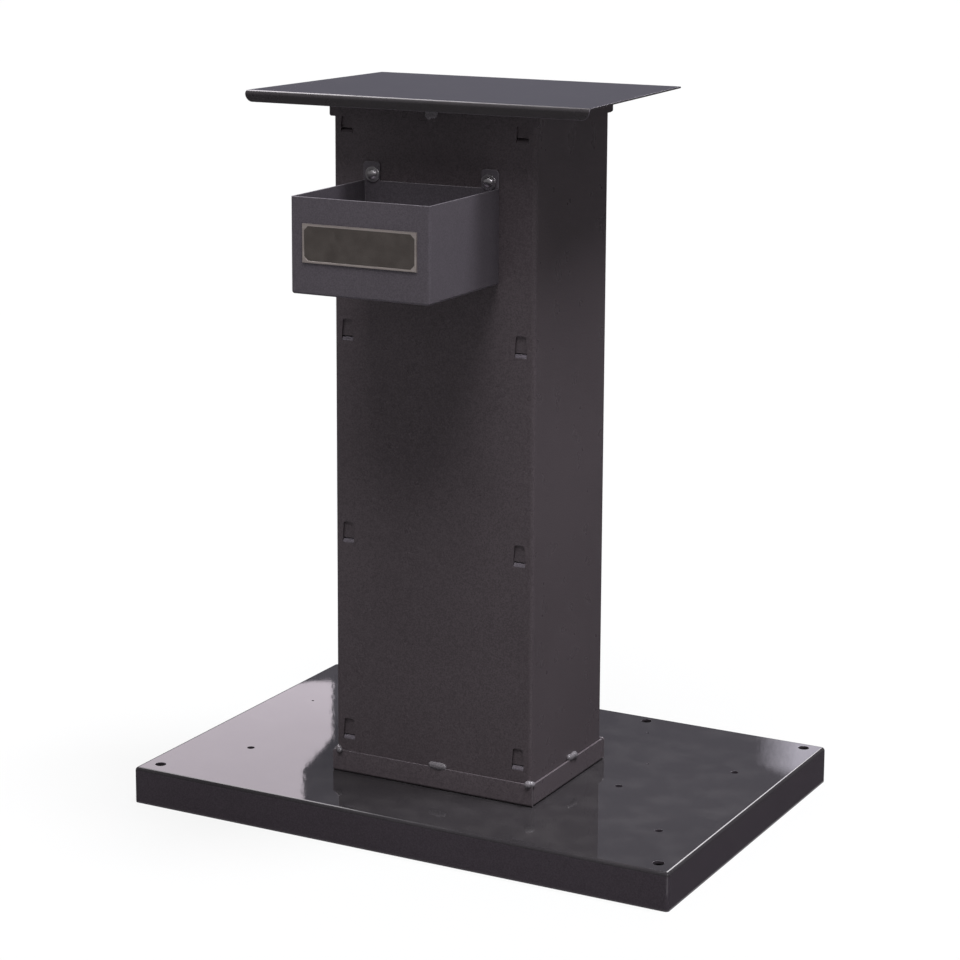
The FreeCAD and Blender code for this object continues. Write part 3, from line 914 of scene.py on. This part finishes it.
@dataclass
class Nameplate:
    """The blank plate on the tray's front: a raised rim with cut corners round a sunk, etched field."""

    rim_width: float = 2.2 * MM
    field_depth: float = 0.25 * MM
    field_area: float = 2000 * MM * MM
    corner_cut: float = 5.0 * MM
    corner_within: float = 0.01 * MM
    edge_width: float = 0.3 * MM

    def build(self) -> None:
        """Models and mounts the plate."""
        low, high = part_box("nameplate_blank")
        middle = (low + high) / 2
        bpy.ops.mesh.primitive_cube_add(size=1.0, location=middle)
        plate = take_new("nameplate_rim_and_field")
        plate.scale = high - low
        settle(plate)
        PAINTS.coat(plate, PLATE_RIM, PLATE_FIELD)
        pick(plate, Element.FACES, self._looks_forward)
        bpy.ops.mesh.inset(thickness=self.rim_width)
        leave_edit()
        self._cut_corners(plate, middle, (high.x - low.x) / 2 - self.rim_width)
        self._sink_field(plate, low)
        self._break_outline(plate, low, high)
        soften(plate)
        mount(plate, "etched_nameplate", "nameplate_blank")

    @staticmethod
    def _looks_forward(face: Face) -> bool:
        """Says whether a face looks to the front."""
        return face.normal.y < -SQUARE_ON

    def _cut_corners(self, plate: Piece, middle: Vector, half: float) -> None:
        """Cuts off the four corners of the field.

        Args:
            plate: the plate, with its field inset.
            middle: the plate's middle.
            half: half the field's width.
        """

        def is_corner(vertex: bpy.types.MeshVertex) -> bool:
            """Says whether a vertex of the front is a corner of the field."""
            off_corner = abs(abs(vertex.co.x - middle.x) - half)
            return off_corner < self.corner_within and vertex.co.y < middle.y

        pick(plate, Element.POINTS, is_corner)
        bpy.ops.mesh.bevel(offset=self.corner_cut, segments=1, affect="VERTICES")
        leave_edit()

    def _sink_field(self, plate: Piece, low: Vector) -> None:
        """Sinks the field below its rim and gives it its own finish.

        Args:
            plate: the plate.
            low: the plate's lowest corner.
        """
        pick(plate, Element.FACES, lambda face: self._looks_forward(face) and face.area > self.field_area)
        bpy.ops.mesh.inset(thickness=self.field_depth)
        bpy.ops.transform.translate(value=(0.0, self.field_depth, 0.0))
        leave_edit()
        for face in plate.data.polygons:
            sunk = self._looks_forward(face) and face.center.y > low.y + NEAR
            face.material_index = 1 if sunk else 0

    def _break_outline(self, plate: Piece, low: Vector, high: Vector) -> None:
        """Rounds the plate's front outline.

        Args:
            plate: the plate.
            low: the plate's lowest corner.
            high: the plate's highest corner.
        """
        front = low.y + NEAR
        sides = ((0, low.x), (0, high.x), (2, low.z), (2, high.z))

        def is_outline(edge: bpy.types.MeshEdge) -> bool:
            """Says whether an edge lies on the front outline."""
            ends = [plate.data.vertices[index].co for index in edge.vertices]
            return max(end.y for end in ends) < front and any(
                all(abs(end[axis] - side) < NEAR for end in ends) for axis, side in sides
            )

        pick(plate, Element.EDGES, is_outline)
        bpy.ops.mesh.bevel(offset=self.edge_width, segments=2, affect="EDGES")
        leave_edit()


# ---------------- the studio


@dataclass(frozen=True)
class Seam:
    """The uneven border between a board's dark part and its bright part, in shares of its width."""

    place: float
    shift: float
    levels: Span
    softness: float
    raggedness: float
    per_metre: float
    dark_colour: Colour
    dark_strength: float

    def draw(self, graph: Graph, glow: Node, colour: Colour, strength: float) -> None:
        """Darkens the board from its first end to the border.

        Args:
            graph: the board's graph.
            glow: the board's emission node.
            colour: the colour of the bright part.
            strength: the brightness of the bright part.
        """
        spot = graph.add("ShaderNodeTexCoord").outputs["UV"]
        across = graph.add("ShaderNodeSeparateXYZ", {"Vector": spot}).outputs["X"]
        where = graph.place()
        upright = graph.add("ShaderNodeSeparateXYZ", {"Vector": where}).outputs["Z"]
        border = graph.spread(upright, self.levels, (self.place, self.place + self.shift))
        half = self.raggedness / 2
        ragged = graph.spread(graph.noise(where, self.per_metre, detail=3.0), NOISE_BODY, (-half, half))
        distance = graph.combine("ADD", graph.combine("SUBTRACT", across, border), ragged)
        share = graph.spread(distance, (0.0, self.softness), WHOLE)
        dark = tuple(self.dark_strength * part for part in self.dark_colour)
        bright = tuple(strength * part for part in colour)
        graph.feed(glow.inputs["Color"], graph.blend(share, dark, bright))
        glow.inputs["Strength"].default_value = 1.0


BOARD_TONE: Colour = (1.0, 0.97, 1.0)
FLAG_TONE = ((0.86, 0.84, 1.0), 0.245)
LEFT_SEAM = Seam(0.044, 0.036, (2.71, 2.84), 0.0010, 0.008, 110.0, *FLAG_TONE)
RIGHT_SEAM = Seam(0.045, 0.26, (2.80, 3.02), 0.090, 0.022, 110.0, *FLAG_TONE)


@dataclass
class Card:
    """A plain board in the studio that the gloss of the paint shows and the camera doesn't see."""

    name: str
    corners: Sequence[Triple]
    colour: Colour
    strength: float
    seam: Seam | None = None

    def build(self) -> None:
        """Stands the board in its place."""
        bpy.ops.mesh.primitive_plane_add(size=1.0)
        board = take_new(self.name)
        order = {(False, False): 0, (True, False): 1, (True, True): 2, (False, True): 3}
        for vertex in board.data.vertices:
            vertex.co = self.corners[order[vertex.co.x > 0, vertex.co.y > 0]]
        material, graph = new_material(self.name)
        glow = graph.add("ShaderNodeEmission", {"Color": self.colour, "Strength": self.strength})
        if self.seam:
            self.seam.draw(graph, glow, self.colour, self.strength)
        graph.surface(glow.outputs["Emission"])
        board.data.materials.append(material)
        show_to(board, Rays.REFLECTED)


def show_to(thing: Piece, rays: Rays) -> None:
    """Sets which rays see a thing of the studio.

    Args:
        thing: the floor or a board.
        rays: the rays that see it.
    """
    for kind in ("camera", "diffuse", "transmission", "volume_scatter", "shadow"):
        setattr(thing, f"visible_{kind}", rays is Rays.ALL)
    thing.visible_glossy = True


@dataclass(frozen=True)
class Lamp:
    """A soft lamp far away. Its light is in watts per square metre and its angles are in degrees."""

    name: str
    light: float
    elevation: float
    azimuth: float
    width: float
    colour: Colour = (1.0, 1.0, 1.0)
    distance: float = 4.0

    def build(self) -> None:
        """Hangs the lamp. Its azimuth is turned from the front towards the right."""
        lamp = bpy.data.lights.new(self.name, "SUN")
        lamp.energy = self.light
        lamp.color = self.colour
        lamp.angle = math.radians(self.width)
        holder = bpy.data.objects.new(self.name, lamp)
        bpy.context.scene.collection.objects.link(holder)
        elevation = math.radians(self.elevation)
        azimuth = math.radians(self.azimuth)
        towards = Vector((
            math.sin(azimuth) * math.cos(elevation),
            -math.cos(azimuth) * math.cos(elevation),
            math.sin(elevation),
        ))
        holder.rotation_euler = towards.to_track_quat("Z", "Y").to_euler()
        holder.location = towards * self.distance


LAMPS = (
    Lamp("front_key", 3.0, elevation=66.0, azimuth=20.0, width=30.0),
    Lamp("side_key", 4.7, elevation=71.0, azimuth=104.0, width=16.0, colour=(0.95, 0.965, 1.0)),
    Lamp("front_fill", 0.24, elevation=20.0, azimuth=-15.0, width=80.0),
    Lamp("back_fill", 0.7, elevation=40.0, azimuth=205.0, width=60.0),
)


@dataclass
class Studio:
    """The floor, the light and the camera."""

    floor_size: float = 80.0
    floor_grey: float = 0.245
    floor_white: float = 0.06
    floor_glow: float = 0.845
    # A dark sheet on the floor under the base plate: painted shade where no light reaches.
    painted_shade_inset: float = 1.5 * MM
    painted_shade_level: float = 1 * MM
    painted_shade_grey: float = 0.02
    world_light: float = 0.40
    camera_place: Triple = (1.4429, -2.7483, 1.1391)
    camera_yaw: float = 0.514667
    camera_pitch: float = -0.189647
    camera_roll: float = -0.001238
    camera_lens: float = 102.84
    camera_sensor: float = 36.0
    camera_shift: Span = (0.09205, -0.13645)
    card_distance: float = 11.0
    sky_distance: float = 9.0
    room_half: float = 14.0
    room_height: float = 12.0
    horizon: float = 2.3
    card_top: float = 6.0
    floor_flag_level: float = 2 * MM
    edge_patch_level: float = 4 * MM

    def build(self) -> None:
        """Sets up the studio."""
        self._build_world()
        self._build_floor()
        self._build_painted_shade_under_base()
        for fitting in (*LAMPS, *self._plan_cards()):
            fitting.build()
        self._build_camera()
        bpy.context.scene.view_settings.view_transform = "Standard"

    @staticmethod
    def _choose(graph: Graph, hidden: Node, seen: Node) -> Socket:
        """Shows one shader to the camera, in gloss and through glass, and lights the stand with another.

        Args:
            graph: the graph that it goes into.
            hidden: the shader that lights the stand.
            seen: the shader that shows.

        Returns:
            The shader's output.
        """
        rays = graph.add("ShaderNodeLightPath").outputs
        mirrored = graph.combine("MAXIMUM", rays["Is Glossy Ray"], rays["Is Transmission Ray"])
        share = graph.combine("MAXIMUM", rays["Is Camera Ray"], mirrored)
        inputs = {0: share, 1: hidden.outputs[0], 2: seen.outputs[0]}
        return graph.add("ShaderNodeMixShader", inputs).outputs[0]

    def _build_world(self) -> None:
        """Makes a white surround that lights softly."""
        world = bpy.data.worlds.new("white_studio")
        bpy.context.scene.world = world
        world.use_nodes = True
        graph = Graph(world.node_tree)
        light = graph.add("ShaderNodeBackground", {"Strength": self.world_light})
        white = graph.add("ShaderNodeBackground", {"Color": (1.0, 1.0, 1.0)})
        graph.surface(self._choose(graph, light, white), "ShaderNodeOutputWorld")

    @staticmethod
    def _matt(graph: Graph, grey: float) -> Node:
        """Adds a matt shader of one grey."""
        return graph.add("ShaderNodeBsdfDiffuse", {"Color": (grey, grey, grey)})

    def _build_floor(self) -> None:
        """Lays the plain pale floor, which keeps the stand's shadow."""
        bpy.ops.mesh.primitive_plane_add(size=self.floor_size)
        floor = take_new("studio_floor")
        material, graph = new_material("studio_floor")
        far = self._matt(graph, self.floor_grey)
        near = self._matt(graph, self.floor_white)
        glow = graph.add("ShaderNodeEmission", {"Strength": self.floor_glow})
        seen = graph.add("ShaderNodeAddShader", {0: near.outputs[0], 1: glow.outputs[0]})
        graph.surface(self._choose(graph, far, seen))
        floor.data.materials.append(material)
        show_to(floor, Rays.ALL)

    def _build_painted_shade_under_base(self) -> None:
        """Lays a dark sheet on the floor under the base plate: painted shade where no light reaches the glowing
        floor.
        """
        low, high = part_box("base_plate")
        middle = ((low.x + high.x) / 2, (low.y + high.y) / 2, self.painted_shade_level)
        bpy.ops.mesh.primitive_plane_add(size=1.0, location=middle)
        dark_sheet = take_new("painted_shade_on_floor")
        dark_sheet.scale = (high.x - low.x - 2 * self.painted_shade_inset, high.y - low.y - 2 * self.painted_shade_inset, 1.0)
        material, graph = new_material("painted_shade_on_floor")
        graph.surface(self._matt(graph, self.painted_shade_grey).outputs[0])
        dark_sheet.data.materials.append(material)

    def _plan_cards(self) -> list[Card]:
        """Plans the boards and softboxes that the glossy paint shows.

        Returns:
            The boards, in the order in which they are built.
        """
        reach = self.room_half
        lower = (0.0, self.horizon)
        upper = (self.horizon, self.card_top)
        square = ((-reach, -reach), (reach, -reach), (reach, reach), (-reach, reach))
        right_box = ((-95.0, 30.0), (-125.0, 30.0), (-125.0, 58.0), (-95.0, 58.0))
        ridge_box = ((28.0, 17.0), (0.0, 27.0), (0.0, 36.0), (28.0, 25.0))
        front_bend_box = ((34.0, 24.0), (68.0, 52.0), (66.0, 64.0), (39.0, 50.0))
        edge_patch = ((0.36, -0.24), (0.47, -0.37), (0.53, -0.28), (0.38, -0.22))
        cards = [
            self._flat_card("floor_flag", square, self.floor_flag_level, 0.045),
            self._flat_card("ceiling_flag", square, self.room_height, 0.12),
            self._sky_card("right_box", right_box, 6.0),
            self._card("back_flag_low", (12.0, 48.0), lower, (0.84, 0.82, 1.0), 0.205),
            self._card("back_flag_high", (22.0, 30.0), upper, *FLAG_TONE),
            self._card("left_softbox", (30.0, 48.0), upper, (1.0, 0.90, 0.99), 2.97, LEFT_SEAM),
            self._card("right_softbox", (22.0, 12.0), upper, (0.915, 0.875, 1.0), 2.7, RIGHT_SEAM),
            self._sky_card("ridge_box", ridge_box, 8.0),
            self._sky_card("front_bend_box", front_bend_box, 6.0),
        ]
        for index, start in enumerate(square):
            end = square[(index + 1) % len(square)]
            wall = self._wall(start, end, (0.0, self.room_height))
            cards.append(Card(f"wall_flag_{index}", wall, BOARD_TONE, 0.14))
        cards.append(self._flat_card("edge_patch", edge_patch, self.edge_patch_level, 2.0))
        return cards

    @staticmethod
    def _wall(start: Span, end: Span, heights: Span) -> tuple[Triple, ...]:
        """Gives the corners of an upright board from the x and y of its ends and from its edges' heights."""
        low, high = heights
        return (*start, low), (*end, low), (*end, high), (*start, high)

    def _card(
        self, name: str, azimuths: Span, heights: Span, colour: Colour, strength: float,
        seam: Seam | None = None,
    ) -> Card:
        """Plans an upright board behind the stand.

        Args:
            name: the board's name.
            azimuths: the directions of its ends from the camera, in degrees from the back towards the left.
            heights: its lower and upper edge.
            colour: its colour.
            strength: its brightness.
            seam: the border of its dark part, if it has one.

        Returns:
            The board.
        """
        start, end = (
            (
                self.camera_place[0] - self.card_distance * math.sin(math.radians(angle)),
                self.camera_place[1] + self.card_distance * math.cos(math.radians(angle)),
            )
            for angle in azimuths
        )
        return Card(name, self._wall(start, end, heights), colour, strength, seam)

    @staticmethod
    def _flat_card(name: str, outline: Sequence[Span], level: float, strength: float) -> Card:
        """Plans a level board whose outline is the x and y of its corners."""
        corners = tuple((x, y, level) for x, y in outline)
        return Card(name, corners, BOARD_TONE, strength)

    def _sky_card(self, name: str, corners: Sequence[Span], strength: float) -> Card:
        """Plans a softbox that hangs over the stand.

        Args:
            name: the softbox's name.
            corners: the azimuth and elevation of its corners, seen from the stand. They are in degrees, and
                the azimuth runs from the back towards the left.
            strength: its brightness.

        Returns:
            The softbox.
        """
        points = []
        for azimuth, elevation in corners:
            level = self.sky_distance * math.cos(math.radians(elevation))
            points.append((
                -level * math.sin(math.radians(azimuth)),
                level * math.cos(math.radians(azimuth)),
                self.sky_distance * math.sin(math.radians(elevation)),
            ))
        return Card(name, points, BOARD_TONE, strength)

    def _build_camera(self) -> None:
        """Sets up the camera."""
        lens = bpy.data.cameras.new("camera")
        lens.lens = self.camera_lens
        lens.sensor_width = self.camera_sensor
        lens.shift_x, lens.shift_y = self.camera_shift
        camera = bpy.data.objects.new("camera", lens)
        bpy.context.scene.collection.objects.link(camera)
        turn = (
            Matrix.Rotation(self.camera_yaw, 4, "Z")
            @ Matrix.Rotation(QUARTER_TURN + self.camera_pitch, 4, "X")
            @ Matrix.Rotation(self.camera_roll, 4, "Z")
        )
        camera.matrix_world = Matrix.Translation(self.camera_place) @ turn
        bpy.context.scene.camera = camera


def main() -> None:
    """Builds the stand's sub-assemblies and the studio in order."""
    logging.basicConfig(level=logging.INFO, format="%(name)s: %(message)s")
    for part in (Foot(), Column(), Head(), PartsTray(), Nameplate(), Studio()):
        LOG.info("building the %s", type(part).__name__)
        part.build()


if __name__ == "__main__":
    main()
